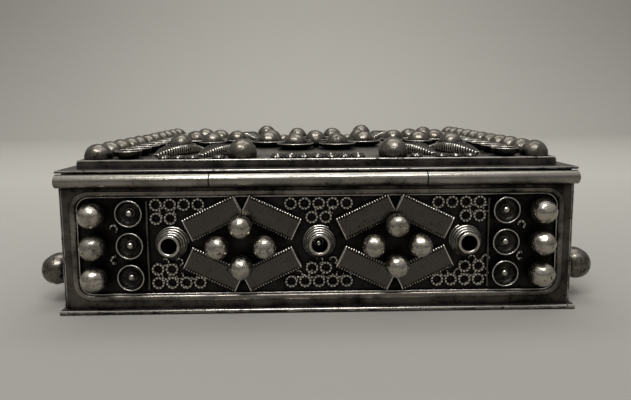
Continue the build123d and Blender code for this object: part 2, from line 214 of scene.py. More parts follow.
def solidsOf(nodeName):  # one entry per solid: its place on the face, its size and which way it leans
    if nodeName in knownSolids:
        return knownSolids[nodeName]
    pick(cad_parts[nodeName])
    bpy.ops.object.duplicate()
    editMesh(bpy.context.active_object)
    bpy.ops.mesh.remove_doubles(threshold=mergeAt["solid"])
    bpy.ops.mesh.separate(type="LOOSE")
    leaveEdit()
    found = []
    for part in bpy.context.selected_objects:
        points = [vertex.co.copy() for vertex in part.data.vertices]
        turn = faceTurn(nodeName, points[0])
        local = [turn.inverted() @ point for point in points]
        low, high = reachOf(local)
        middle = (low + high) / 2
        lean = sum((point.x - middle.x) * (point.y - middle.y) for point in local)
        foot = turn @ Vector((middle.x, middle.y, low.z))
        found.append({"turn": turn, "foot": foot, "width": high.x - low.x, "depth": high.y - low.y,
                      "height": high.z - low.z, "lean": math.copysign(1, lean)})
    bpy.ops.object.delete()
    found.sort(key=lambda solid: tuple(round(value, 5) for value in solid["foot"]))  # a steady order
    knownSolids[nodeName] = found
    return found


def placeAt(spot, turn, spin):
    return Matrix.Translation(spot) @ turn @ Matrix.Rotation(spin, 4, "Z")


def placeOf(solid, spin=0.0):
    return placeAt(solid["foot"], solid["turn"], spin)


# finishes: old silver that is dark where fingers never reach and bright where they do, with painted shade
# near other parts and painted light on the upward faces
silverForm = {"metallic": 1.0, "reachSamples": 6, "stainDetail": 5, "stainRoughness": 0.62, "pitDetail": 4,
              "pitFrom": 0.58, "pitTo": 0.74, "bloomShare": 0.35, "bloomDetail": 3, "scratchDetail": 4,
              "scratchRoughness": 0.7, "glossFrom": 0.3, "glossTo": 0.7, "scratchGloss": 0.45}


def addNode(tree, kind, values=None, **settings):  # settings go to the node, values to its inputs
    node = tree.nodes.new("ShaderNode" + kind)
    for name, value in settings.items():
        setattr(node, name, value)
    for socket, value in (values or {}).items():
        node.inputs[socket].default_value = value
    return node


def wire(tree, fromNode, fromSocket, toNode, toSocket):
    tree.links.new(fromNode.outputs[fromSocket], toNode.inputs[toSocket])


def oldSilver(look):
    material = bpy.data.materials.new(look["name"])
    material.use_nodes = True
    tree = material.node_tree
    shader = tree.nodes["Principled BSDF"]
    shader.inputs["Metallic"].default_value = silverForm["metallic"]
    coords = addNode(tree, "TexCoord")
    reach = addNode(tree, "AmbientOcclusion", {"Distance": look["reach"]},
                    samples=silverForm["reachSamples"])  # deep places keep their tarnish; the same darkening is painted shade where parts crowd each other
    stain = addNode(tree, "TexNoise", {"Scale": look["stainScale"], "Detail": silverForm["stainDetail"],
                                       "Roughness": silverForm["stainRoughness"]})
    wire(tree, coords, "Object", stain, "Vector")
    stainShare = addNode(tree, "Math", {1: look["stain"], 2: -look["stain"] / 2}, operation="MULTIPLY_ADD")
    wire(tree, stain, "Fac", stainShare, 0)
    stainAndShade = addNode(tree, "Math", operation="ADD")
    wire(tree, reach, "AO", stainAndShade, 0)
    wire(tree, stainShare, "Value", stainAndShade, 1)
    pits = addNode(tree, "TexNoise", {"Scale": look["pitScale"], "Detail": silverForm["pitDetail"]})
    wire(tree, coords, "Object", pits, "Vector")
    pitDepth = addNode(tree, "MapRange", {"From Min": silverForm["pitFrom"], "From Max": silverForm["pitTo"],
                                          "To Max": -look["pit"]})  # only the noise's peaks are pits
    wire(tree, pits, "Fac", pitDepth, "Value")
    pitsStainAndShade = addNode(tree, "Math", operation="ADD")
    wire(tree, stainAndShade, "Value", pitsStainAndShade, 0)
    wire(tree, pitDepth, "Result", pitsStainAndShade, 1)
    facing = addNode(tree, "SeparateXYZ")  # hands and cloths rub the tops, and the upward faces are painted lighter as if lit from above
    wire(tree, coords, "Normal", facing, "Vector")
    rubShadeAndLight = addNode(tree, "Math", {1: look["topRubAndLight"]}, operation="MULTIPLY_ADD")
    wire(tree, facing, "Z", rubShadeAndLight, 0)
    wire(tree, pitsStainAndShade, "Value", rubShadeAndLight, 2)
    wearShadeAndLight = addNode(tree, "MapRange", {"From Min": look["darkAt"], "From Max": look["brightAt"]},
                   interpolation_type="SMOOTHSTEP")
    wire(tree, rubShadeAndLight, "Value", wearShadeAndLight, "Value")
    tone = addNode(tree, "Mix", {"A": (*look["dark"], 1), "B": (*look["bright"], 1)}, data_type="RGBA")
    wire(tree, wearShadeAndLight, "Result", tone, "Factor")
    bloom = addNode(tree, "TexNoise", {"Scale": look["stainScale"] * silverForm["bloomShare"],
                                       "Detail": silverForm["bloomDetail"]})  # broad warm and cool patches
    wire(tree, coords, "Object", bloom, "Vector")
    warm = addNode(tree, "Mix", {"B": (*look["warm"], 1)}, data_type="RGBA", blend_type="MULTIPLY")
    wire(tree, bloom, "Fac", warm, "Factor")
    wire(tree, tone, "Result", warm, "A")
    wire(tree, warm, "Result", shader, "Base Color")
    stretch = addNode(tree, "Mapping", {"Scale": look["scratchScale"]})  # hairline scratches run one way
    wire(tree, coords, "Object", stretch, "Vector")
    scratch = addNode(tree, "TexNoise", {"Scale": 1.0, "Detail": silverForm["scratchDetail"],
                                         "Roughness": silverForm["scratchRoughness"]})
    wire(tree, stretch, "Vector", scratch, "Vector")
    gloss = addNode(tree, "MapRange", {"From Min": silverForm["glossFrom"], "From Max": silverForm["glossTo"],
                                       "To Min": look["roughest"], "To Max": look["smoothest"]})
    polish = addNode(tree, "Mix", {"Factor": silverForm["scratchGloss"]})
    wire(tree, wearShadeAndLight, "Result", polish, "A")
    wire(tree, scratch, "Fac", polish, "B")
    wire(tree, polish, "Result", gloss, "Value")
    wire(tree, gloss, "Result", shader, "Roughness")
    relief = addNode(tree, "Mix", {"Factor": look["scratchShare"]})
    wire(tree, pits, "Fac", relief, "A")
    wire(tree, scratch, "Fac", relief, "B")
    bump = addNode(tree, "Bump", {"Strength": look["bump"], "Distance": look["bumpDepth"]})
    wire(tree, relief, "Result", bump, "Height")
    wire(tree, bump, "Normal", shader, "Normal")
    return material


sheetLook = {"name": "tarnishedSheet", "dark": (0.004, 0.0037, 0.0035), "bright": (0.035, 0.033, 0.031),
             "warm": (0.85, 0.80, 0.74), "reach": 4 * mm, "darkAt": 0.35, "brightAt": 1.1, "stain": 0.7,
             "stainScale": 260, "scratchScale": (60, 60, 900), "scratchShare": 0.5, "roughest": 0.62,
             "smoothest": 0.34, "pitScale": 900, "pit": 0.4, "topRubAndLight": 0.0, "bump": 0.6,
             "bumpDepth": 0.12 * mm}
frameLook = {**sheetLook, "name": "frameSilver", "dark": (0.006, 0.0052, 0.0046),
             "bright": (0.12, 0.109, 0.098), "reach": 2.5 * mm, "darkAt": 0.32, "brightAt": 1.35,
             "stain": 2.3, "stainScale": 150, "scratchScale": (50, 50, 1500), "scratchShare": 0.8,
             "topRubAndLight": 0.15}
beadLook = {**frameLook, "name": "beadSilver", "bright": (0.26, 0.242, 0.22), "reach": 1.2 * mm,
            "smoothest": 0.24, "roughest": 0.5, "topRubAndLight": 0.3}
# bright finish for bevelled edges: worn silver, partly a painted highlight along them
edgeLook = {**sheetLook, "name": "wornEdge", "dark": (0.03, 0.028, 0.026), "bright": (0.62, 0.60, 0.57),
            "reach": 1.2 * mm, "darkAt": 0.45, "brightAt": 1.2, "stain": 2.0, "stainScale": 300, "pit": 0.6,
            "topRubAndLight": 0.2, "smoothest": 0.24, "roughest": 0.48}
baseLook = {**edgeLook, "name": "baseEdge", "bright": (0.42, 0.405, 0.384), "stain": 2.8, "stainScale": 200,
            "brightAt": 1.35}
lidLook = {**frameLook, "name": "lidSilver", "dark": (0.02, 0.018, 0.017), "bright": (0.18, 0.168, 0.156)}
ballLook = {"name": "handledBall", "dark": (0.025, 0.023, 0.02), "bright": (0.50, 0.472, 0.425),
            "warm": (0.80, 0.76, 0.67), "reach": 2.4 * mm, "darkAt": 0.22, "brightAt": 1.2, "stain": 1.9,
            "stainScale": 420, "scratchScale": (800, 800, 300), "scratchShare": 0.3, "roughest": 0.5,
            "smoothest": 0.22, "pitScale": 1100, "pit": 0.85, "topRubAndLight": 0.12, "bump": 0.8,
            "bumpDepth": 0.16 * mm}
# a darker copy of the ball silver: painted shade on the lid's balls, the corner balls and their seams
lidBallLook = {**ballLook, "name": "lidBall", "dark": (0.014, 0.013, 0.011), "bright": (0.17, 0.158, 0.14),
               "smoothest": 0.26, "roughest": 0.48}
wireLook = {**ballLook, "name": "drawnWire", "dark": (0.010, 0.009, 0.008), "bright": (0.50, 0.48, 0.45),
            "reach": 0.7 * mm, "darkAt": 0.5, "brightAt": 1.05, "stain": 0.9, "pit": 0.3, "smoothest": 0.22,
            "roughest": 0.45}
ropeLook = {**wireLook, "name": "twistedWire", "bright": (0.62, 0.60, 0.565), "reach": 0.5 * mm,
            "darkAt": 0.3, "brightAt": 0.95, "stain": 1.4}
lidRopeLook = {**ropeLook, "name": "lidRope", "bright": (0.17, 0.162, 0.15)}
stripLook = {**wireLook, "name": "woundStrip", "dark": (0.006, 0.0055, 0.005),
             "bright": (0.105, 0.099, 0.092), "reach": 0.8 * mm, "darkAt": 0.4, "brightAt": 0.95}
# a bright finish for the strip's edges and end turns: painted highlight
toothLook = {**wireLook, "name": "rubbedTeeth", "dark": (0.05, 0.047, 0.044), "bright": (0.74, 0.715, 0.675),
             "reach": 0.5 * mm, "darkAt": 0.3, "brightAt": 0.95, "topRubAndLight": 0.12, "stain": 1.0}
coneLook = {**wireLook, "name": "woundCone", "dark": (0.006, 0.0055, 0.005), "bright": (0.50, 0.48, 0.45),
            "reach": 0.7 * mm, "darkAt": 0.6, "brightAt": 1.25, "topRubAndLight": 0.5}
# a near-black copy of the silver for the cups, the bowls and the cone linings: tarnish, and painted shade
# inside them
cupLook = {**ballLook, "name": "cupSilver", "dark": (0.004, 0.0037, 0.0035), "bright": (0.10, 0.095, 0.088),
           "reach": 3.5 * mm, "darkAt": 0.4, "brightAt": 1.1, "stain": 0.5, "smoothest": 0.3, "roughest": 0.6,
           "topRubAndLight": 0.0}
bowlLook = {**cupLook, "name": "bowlSilver", "dark": (0.010, 0.009, 0.0085), "bright": (0.20, 0.19, 0.178)}
rimLook = {**ballLook, "name": "cupRim", "dark": (0.06, 0.057, 0.054), "bright": (0.52, 0.50, 0.475),
           "reach": 0.8 * mm, "darkAt": 0.3, "brightAt": 1.0, "stain": 1.0, "pit": 0.4}
# the hinge gets strong painted light on its upward faces and painted shade below
hingeLook = {**ballLook, "name": "hingeSilver", "dark": (0.018, 0.015, 0.012), "bright": (0.36, 0.345, 0.322),
             "reach": 2.4 * mm, "darkAt": 0.2, "brightAt": 1.2, "stain": 2.0, "stainScale": 90,
             "topRubAndLight": 0.46, "pit": 0.35, "scratchScale": (28, 1000, 1000), "scratchShare": 0.85,
             "smoothest": 0.24, "roughest": 0.46}
sheetSilver = oldSilver(sheetLook)
frameSilver = oldSilver(frameLook)
beadSilver = oldSilver(beadLook)
edgeSilver = oldSilver(edgeLook)
lidSilver = oldSilver(lidLook)
ballSilver = oldSilver(ballLook)
wireSilver = oldSilver(wireLook)
stripSilver = oldSilver(stripLook)
hingeSilver = oldSilver(hingeLook)
toothSilver = oldSilver(toothLook)
ropeSilver = oldSilver(ropeLook)
coneSilver = oldSilver(coneLook)
lidBallSilver = oldSilver(lidBallLook)
baseSilver = oldSilver(baseLook)
lidRopeSilver = oldSilver(lidRopeLook)
cupSilver = oldSilver(cupLook)
bowlSilver = oldSilver(bowlLook)
rimSilver = oldSilver(rimLook)
print("finishes ready")


# hammered balls and domes
ballForm = {"segments": 36, "rings": 24, "shrink": 0.985, "sink": 0.05 * mm, "cut": 0.02 * mm, "spin": 0.7,
            "dent": 0.3 * mm, "dentSize": 2.4 * mm, "dentLevel": 0.65, "pit": 0.14 * mm, "pitSize": 0.9 * mm,
            "smooth": 35}
dents = bpy.data.textures.new("dents", "CLOUDS")
dents.noise_depth = 1


def hammer(piece, depth, size):  # shallow dents, different on each ball because they follow the place
    dents.noise_scale = size
    addModifier(piece, "DISPLACE", texture=dents, texture_coords="GLOBAL", strength=depth,
                mid_level=ballForm["dentLevel"])


def wornBalls(nodeName, body):
    solids = solidsOf(nodeName)
    first = solids[0]
    radius = first["width"] / 2 * ballForm["shrink"]
    ball = cutBall(ballForm, radius, first["height"] - radius - ballForm["sink"], ballForm["cut"])
    places = [placeOf(solid, spin=ballForm["spin"] * i) for i, solid in enumerate(solids)]
    balls = setOut(ball, places, dashed(nodeName))
    hammer(balls, ballForm["dent"], ballForm["dentSize"])
    hammer(balls, ballForm["pit"], ballForm["pitSize"])
    smooth(balls, ballForm["smooth"])
    # the lid's balls and the corner balls take the darker copy: painted shade
    paintedShade = body == "lid" or nodeName == "corner_balls"
    coat(balls, lidBallSilver if paintedShade else ballSilver)
    fit(balls, body, "polished_balls", nodeName)


for nodeName in ("hinge_wall_balls", "hinge_wall_diamond_balls", "front_wall_balls",
                 "front_wall_diamond_balls", "end_wall_diamond_balls", "corner_balls"):
    wornBalls(nodeName, "box")
for nodeName in ("lid_domes", "lid_edge_balls", "lid_bowl_balls", "lid_small_balls"):
    wornBalls(nodeName, "lid")

# the two halves of each corner ball meet in a raised line
seamForm = {"wire": 0.16 * mm, "share": 0.985, "segments": 40, "sides": 6, "dent": 0.1 * mm, "smooth": 60}
ballLow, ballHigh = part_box("corner_balls")
ballWidth = ballHigh[2] - ballLow[2]
ballOut = ballHigh[0] - ballWidth / 2
seam = wireRing(ballWidth / 2 * seamForm["share"] - seamForm["wire"], seamForm["wire"], seamForm["segments"],
                seamForm["sides"])
addModifier(seam, "DISPLACE", texture=dents, strength=seamForm["dent"])
seamPlaces = []
for solid in solidsOf("corner_ball_seats"):
    centre = solid["foot"].copy()
    centre.x = math.copysign(ballOut, centre.x)
    seamPlaces.append(Matrix.Translation(centre) @ solid["turn"])
seams = setOut(seam, seamPlaces, "corner-ball-seams")
smooth(seams, seamForm["smooth"])
# the seams take the darker copy too: painted shade
coat(seams, lidBallSilver)
fit(seams, "box", "polished_balls")
print("balls set out")


# dishes: the cups on the walls and the bowls on the lid, with a drawn wire round each rim
cupForm = {"sides": 36, "wall": 0.35 * mm, "rimWire": 0.17 * mm, "rimSides": 8, "footShare": 0.68,
           "belly": 0.62, "bellyRise": 0.5, "smooth": 50}


def dishMaster(rim, height, inside):
    foot = rim * cupForm["footShare"]
    rimRadius = rim - cupForm["rimWire"]
    rimTop = height - cupForm["rimWire"]
    bpy.ops.mesh.primitive_circle_add(vertices=cupForm["sides"], radius=foot, fill_type="NGON",
                                      location=(0, 0, cupForm["wall"]))
    dish = fresh()
    editMesh(dish)
    bpy.ops.mesh.select_mode(type="EDGE")
    steps = [(foot + (rim - foot) * cupForm["belly"], rimTop * cupForm["bellyRise"]), (rimRadius, rimTop)]
    radius, level = foot, cupForm["wall"]
    for nextRadius, nextLevel in steps:
        bpy.ops.mesh.extrude_edges_move(TRANSFORM_OT_translate={"value": (0, 0, nextLevel - level)})
        grow = nextRadius / radius
        bpy.ops.transform.resize(value=(grow, grow, 1), center_override=(0, 0, nextLevel))
        radius, level = nextRadius, nextLevel
    leaveEdit()
    outwards(dish)
    addModifier(dish, "SOLIDIFY", thickness=cupForm["wall"], offset=0)
    ring = wireRing(rimRadius, cupForm["rimWire"], cupForm["sides"], cupForm["rimSides"], rimTop)
    coat(dish, inside)
    coat(ring, rimSilver)
    return joined([dish, ring], "dish")


def dishes(nodeName, body, inside):
    solids = solidsOf(nodeName)
    widths = [round(solid["width"], 4) for solid in solids]  # to a tenth of a millimetre
    pieces = []
    for width in sorted(set(widths)):
        same = [solid for solid, ownWidth in zip(solids, widths) if ownWidth == width]
        master = dishMaster(width / 2, same[0]["height"], inside)
        pieces.append(setOut(master, [placeOf(solid) for solid in same], nodeName))
    cups = joined(pieces, dashed(nodeName))
    smooth(cups, cupForm["smooth"])
    fit(cups, body, "cup_silver", nodeName)


for nodeName in ("hinge_wall_cups", "front_wall_cups", "end_wall_cups"):
    dishes(nodeName, "box", cupSilver)
dishes("lid_cups", "lid", cupSilver)
dishes("lid_bowls", "lid", bowlSilver)
print("cups and bowls set out")


# grains, each in a tiny collar
grainForm = {"segments": 14, "rings": 9, "collar": 1.12, "collarWire": 0.14 * mm, "collarSegments": 20,
             "collarSides": 6, "smooth": 50}


def grains(nodeName, body):
    solids = solidsOf(nodeName)
    radius = solids[0]["width"] / 2
    grain = cutBall(grainForm, radius, solids[0]["height"] - radius, 0)
    collar = wireRing(radius * grainForm["collar"], grainForm["collarWire"], grainForm["collarSegments"],
                      grainForm["collarSides"], grainForm["collarWire"])
    master = joined([grain, collar], "grain")
    piece = setOut(master, [placeOf(solid) for solid in solids], dashed(nodeName))
    smooth(piece, grainForm["smooth"])
    coat(piece, lidRopeSilver if body == "lid" else wireSilver)
    fit(piece, body, "silver_wire", nodeName)


for nodeName in ("hinge_wall_grains", "front_wall_grains", "end_wall_grains"):
    grains(nodeName, "box")
grains("lid_grains", "lid")
print("grains set out")


# cones of tightly wound wire with an open ring on top
coneForm = {"baseRadius": 4.3 * mm, "topRadius": 2.62 * mm, "wire": 0.42 * mm, "turns": 4, "steps": 28,
            "sides": 8, "ringWire": 0.4 * mm, "ringSegments": 32, "ringSides": 8, "liningSides": 26,
            "smooth": 60}


def cones(nodeName):
    solids = solidsOf(nodeName)
    height = solids[0]["height"]
    wireRadius = coneForm["wire"] / 2
    coilRadius = coneForm["baseRadius"] - wireRadius
    ringRadius = coneForm["topRadius"] - coneForm["ringWire"]
    rise = height - 2 * coneForm["ringWire"] - wireRadius
    bpy.ops.mesh.primitive_circle_add(vertices=coneForm["sides"], radius=wireRadius, fill_type="NOTHING",
                                      location=(coilRadius, 0, wireRadius), rotation=(math.pi / 2, 0, 0))
    coil = fresh()
    addModifier(coil, "SCREW", axis="Z", angle=2 * math.pi, screw_offset=rise / coneForm["turns"],
                iterations=coneForm["turns"], steps=coneForm["steps"], render_steps=coneForm["steps"])
    outwards(coil)
    addModifier(coil, "SIMPLE_DEFORM", deform_method="TAPER", deform_axis="Z",
                factor=ringRadius / coilRadius - 1)
    ring = wireRing(ringRadius, coneForm["ringWire"], coneForm["ringSegments"], coneForm["ringSides"],
                    height - coneForm["ringWire"])
    bpy.ops.mesh.primitive_cone_add(vertices=coneForm["liningSides"], depth=rise, end_fill_type="NOTHING",
                                    radius1=coneForm["baseRadius"] - coneForm["wire"],
                                    radius2=coneForm["topRadius"] - coneForm["wire"],
                                    location=(0, 0, rise / 2))
    lining = fresh()  # a dark lining behind the turns: painted shade inside the coil
    coat(coil, coneSilver)
    coat(ring, rimSilver)
    coat(lining, cupSilver)
    master = joined([coil, ring, lining], "cone")
    places = [placeOf(solid, spin=i) for i, solid in enumerate(solids)]  # no two start at the same side
    piece = setOut(master, places, dashed(nodeName))
    smooth(piece, coneForm["smooth"])
    fit(piece, "box", "silver_wire", nodeName)


for nodeName in ("hinge_wall_cones", "front_wall_cones", "end_wall_cones"):
    cones(nodeName)
print("wound cones set out")


# flat strips of wound wire
stripForm = {"width": 6.0 * mm, "cadWidth": 5.2 * mm, "thickness": 1.3 * mm, "pitch": 0.66 * mm,
             "wire": 0.36 * mm, "wireResolution": 1, "corner": 0.36 * mm, "cornerSegments": 2,
             "tooth": 1.0 * mm, "inset": 0.9 * mm, "sunk": 0.06 * mm, "coreCuts": 9, "leaf": 0.74,
             "leafThin": 0.6, "longer": 0.9 * mm, "saw": 0.12 * mm, "diamondBalls": 4, "wallSlope": 25.5,
             "lidSlope": 60.0, "smooth": 60}


def stripMaster(length, height, leaf):  # leaf: how much a strip narrows to its ends
    wireRadius = stripForm["wire"] / 2
    turns = round(length / stripForm["pitch"])
    middle = stripForm["thickness"] / 2
    bpy.ops.mesh.primitive_plane_add(size=1, location=(0, 0, middle), rotation=(0, math.pi / 2, 0))
    section = fresh((stripForm["thickness"] - 2 * wireRadius, stripForm["width"] - 2 * wireRadius, 1))
    editMesh(section)
    bpy.ops.mesh.bevel(offset=stripForm["corner"], segments=stripForm["cornerSegments"], affect="VERTICES")
    turn = roundWire(section, wireRadius, stripForm["wireResolution"])  # one turn round the core
    addModifier(turn, "ARRAY", count=turns, use_relative_offset=False, use_constant_offset=True,
                constant_offset_displace=(stripForm["pitch"], 0, 0))
    editMesh(turn)
    bpy.ops.transform.translate(value=(-(turns - 1) * stripForm["pitch"] / 2, 0, 0))
    leaveEdit()
    outwards(turn)
    coat(turn, stripSilver, toothSilver)
    for face in turn.data.polygons:  # the edges and end turns of the strip get the bright finish: a painted highlight where the turns catch the light
        face.material_index = int(abs(face.center.y) > stripForm["width"] / 2 - stripForm["tooth"]
                                  or abs(face.center.x) > length / 2 - stripForm["pitch"])
    bpy.ops.mesh.primitive_cube_add(size=1, location=(0, 0, middle))
    core = fresh((length - stripForm["pitch"], stripForm["width"] - 2 * stripForm["inset"],
                  stripForm["thickness"] - 2 * stripForm["sunk"]))
    coat(core, stripSilver)
    selectWhere(core, "edges", lambda edge: span(core, edge, 0) > length / 2)
    bpy.ops.mesh.subdivide(number_cuts=stripForm["coreCuts"])
    leaveEdit()
    strip = joined([turn, core], "strip")
    swell = height / stripForm["thickness"] - 1  # the strips of the lid rise in the middle
    for vertex in strip.data.vertices:
        out = (2 * vertex.co.x / length) ** 2
        vertex.co.z *= 1 + swell * (1 - out) - leaf * stripForm["leafThin"] * out
        vertex.co.y *= 1 - leaf * out
    return strip


def sawnStrips(nodeName, solids, lean, angle, length):  # the strips of a diamond end at its middle line
    same = [solid for solid in solids if solid["lean"] == lean]
    balls = solidsOf(nodeName.replace("strips", "diamond_balls"))
    ballCount = stripForm["diamondBalls"]
    longer = Vector((stripForm["longer"] / 2, 0, 0))
    places = []
    for solid in same:
        near = sorted(balls, key=lambda ball: (ball["foot"] - solid["foot"]).length)[:ballCount]
        middle = sum((ball["foot"] for ball in near), Vector()) / ballCount
        reach = (middle - solid["foot"]).dot(solid["turn"].col[0].to_3d())  # the same length for each strip
        spin = lean * angle + (0 if reach > 0 else math.pi)
        places.append(placeOf(solid, spin) @ Matrix.Translation(longer))
    master = stripMaster(length + stripForm["longer"], same[0]["height"], leaf=0)
    across = Vector((math.cos(angle), -lean * math.sin(angle), 0))
    saw(master, across * (abs(reach) - stripForm["saw"]) - longer, across, clear_outer=True)
    return setOut(master, places, nodeName)


def strips(nodeName, body, slope):
    solids = solidsOf(nodeName)
    angle = math.radians(slope)
    length = (solids[0]["width"] - stripForm["cadWidth"] * math.sin(angle)) / math.cos(angle)
    if body == "lid":
        master = stripMaster(length, solids[0]["height"], stripForm["leaf"])
        places = [placeOf(solid, spin=solid["lean"] * angle) for solid in solids]
        pieces = [setOut(master, places, nodeName)]
    else:
        pieces = [sawnStrips(nodeName, solids, lean, angle, length) for lean in (1, -1)]
    piece = joined(pieces, dashed(nodeName))
    smooth(piece, stripForm["smooth"])
    fit(piece, body, "silver_wire", nodeName)


for nodeName in ("hinge_wall_strips", "front_wall_strips", "end_wall_strips"):
    strips(nodeName, "box", stripForm["wallSlope"])
strips("lid_strips", "lid", stripForm["lidSlope"])
print("wound strips set out")


# filigree: rings and dividers of twisted wire
twistForm = {"segments": 30, "sides": 6, "thick": 1.3, "strands": 3, "valley": 0.1 * mm,
             "roundWithin": 0.1 * mm, "dividerSides": 8, "band": 1.2 * mm, "swell": 0.1 * mm, "smooth": 50}


def isRing(solid):
    return abs(solid["width"] - solid["depth"]) < twistForm["roundWithin"]


def ropeRing(radius, wireRadius, segments, height, silver):  # twisted strands with dark valleys: painted shade in the grooves, partly tarnish
    ring = wireRing(radius, wireRadius, segments, twistForm["sides"], height)
    aroundStep, acrossStep = 2 * math.pi / segments, 2 * math.pi / twistForm["sides"]
    valleys = set()
    for vertex in ring.data.vertices:
        outwardBy = math.hypot(vertex.co.x, vertex.co.y) - radius
        around = round(math.atan2(vertex.co.y, vertex.co.x) / aroundStep)
        across = round(math.atan2(vertex.co.z - height, outwardBy) / acrossStep)
        if (around + across) % twistForm["strands"] == 0:
            valleys.add(vertex.index)
    coat(ring, silver, sheetSilver)
    # faces between the strands take the dark sheet finish: painted shade, partly tarnish
    for face in ring.data.polygons:
        face.material_index = int(len(valleys.intersection(face.vertices)) > 1)
    selectWhere(ring, "vertices", lambda vertex: vertex.index in valleys)
    bpy.ops.transform.shrink_fatten(value=-twistForm["valley"])
    leaveEdit()
    return ring


def dividerWire(length, radius):
    bpy.ops.mesh.primitive_cylinder_add(vertices=twistForm["dividerSides"], radius=radius, depth=length,
                                        location=(0, 0, radius), rotation=(math.pi / 2, 0, 0))
    divider = fresh()
    coat(divider, stripSilver)
    bands = 2 * round(length / twistForm["band"])
    selectWhere(divider, "edges", lambda edge: span(divider, edge, 1) > length / 2)
    bpy.ops.mesh.subdivide(number_cuts=bands - 1)
    leaveEdit()
    selectWhere(divider, "vertices", lambda vertex: round((vertex.co.y / length + 0.5) * bands) % 2 == 1)
    bpy.ops.transform.shrink_fatten(value=twistForm["swell"])  # every other band of the wire stands proud
    leaveEdit()
    return divider


def filigree(nodeName, body):
    solids = solidsOf(nodeName)
    rings = [solid for solid in solids if isRing(solid)]
    dividers = [solid for solid in solids if not isRing(solid)]
    wireRadius = rings[0]["height"] / 2
    ring = ropeRing(rings[0]["width"] / 2 - wireRadius, wireRadius * twistForm["thick"],
                    twistForm["segments"], wireRadius, lidRopeSilver if body == "lid" else ropeSilver)
    pieces = [setOut(ring, [placeOf(solid, spin=i) for i, solid in enumerate(rings)], nodeName)]
    if dividers:
        divider = dividerWire(dividers[0]["depth"], wireRadius)
        pieces.append(setOut(divider, [placeOf(solid) for solid in dividers], nodeName))
    piece = joined(pieces, dashed(nodeName))
    smooth(piece, twistForm["smooth"])
    fit(piece, body, "silver_wire", nodeName)


for nodeName in ("hinge_wall_filigree", "front_wall_filigree", "end_wall_filigree"):
    filigree(nodeName, "box")
filigree("lid_filigree", "lid")

# short curls of wire fill the gaps between the balls and the cups, and those between the rings
curlForm = {"radius": 0.85 * mm, "wire": 0.27 * mm, "segments": 18, "open": 0.35, "margin": 1.5 * mm,
            "between": 0.5, "aside": 0.6, "spin": 2.1, "ringAside": 0.56, "ringSpin": 1.7}


def curls(wall):
    curl = ropeRing(curlForm["radius"], curlForm["wire"], curlForm["segments"], curlForm["wire"], ropeSilver)
    saw(curl, (curlForm["radius"] * curlForm["open"], 0, 0), (1, 0, 0), clear_outer=True)
    cups = solidsOf(wall + "_cups")
    places = []
    for ball in solidsOf(wall + "_balls"):
        near = min(cups, key=lambda cup: (cup["foot"] - ball["foot"]).length)
        step = near["foot"] - ball["foot"]
        rise = ball["turn"].col[1].to_3d()
        for side in (1, -1):
            spot = ball["foot"] + step * curlForm["between"] + rise * side * ball["width"] * curlForm["aside"]
            places.append(placeAt(spot, ball["turn"], curlForm["spin"] * len(places)))
    for ring in filter(isRing, solidsOf(wall + "_filigree")):
        along, rise = (ring["turn"].col[i].to_3d() * ring["width"] * curlForm["ringAside"] for i in (0, 1))
        places.append(placeAt(ring["foot"] + along + rise, ring["turn"], curlForm["ringSpin"] * len(places)))
    low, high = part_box(wall + "_bead")
    margin = curlForm["margin"]
    places = [place for place in places if low[0] + margin < place.translation.x < high[0] - margin
              and low[2] + margin < place.translation.z < high[2] - margin]
    piece = setOut(curl, places, dashed(wall) + "-curls")
    smooth(piece, twistForm["smooth"])
    fit(piece, "box", "silver_wire")


curls("hinge_wall")
curls("front_wall")
print("filigree set out")


# raised frames with edges worn bright, partly a painted highlight along them, and the bead inside each window
frameForm = {"corner": 3.0 * mm, "cornerSegments": 6, "cornerSlack": 0.1 * mm, "inset": 1.0 * mm,
             "edge": 0.28 * mm, "edgeSegments": 3, "edgeAngle": 60, "smooth": 40}
beadForm = {"wire": 0.8 * mm, "out": 0.45 * mm, "rise": 0.55 * mm, "flat": 0.75, "corner": 3.4 * mm,
            "cornerSegments": 6, "resolution": 2, "innerWire": 0.2 * mm, "innerInset": 0.45 * mm,
            "innerRise": 0.5 * mm, "smooth": 60}


def localBox(nodeName, turn):  # a node's box along, up and out of its wall
    return reachOf([turn.inverted() @ Vector(corner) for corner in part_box(nodeName)])


def flatPanel(low, high):
    bpy.ops.mesh.primitive_plane_add(size=1, location=((low.x + high.x) / 2, (low.y + high.y) / 2, 0))
    return fresh((high.x - low.x, high.y - low.y, 1))


def beadWire(low, high, inset, radius, height, silver):  # a flattened wire round the window
    margin = Vector((inset, inset, 0))
    panel = flatPanel(low + margin, high - margin)
    editMesh(panel)
    bpy.ops.mesh.bevel(offset=beadForm["corner"] - inset, segments=beadForm["cornerSegments"],
                       affect="VERTICES")
    loop = roundWire(panel, radius, beadForm["resolution"])
    loop.scale = (1, 1, beadForm["flat"])
    loop.location = (0, 0, height)
    settle(loop)
    outwards(loop)
    coat(loop, silver)
    return loop


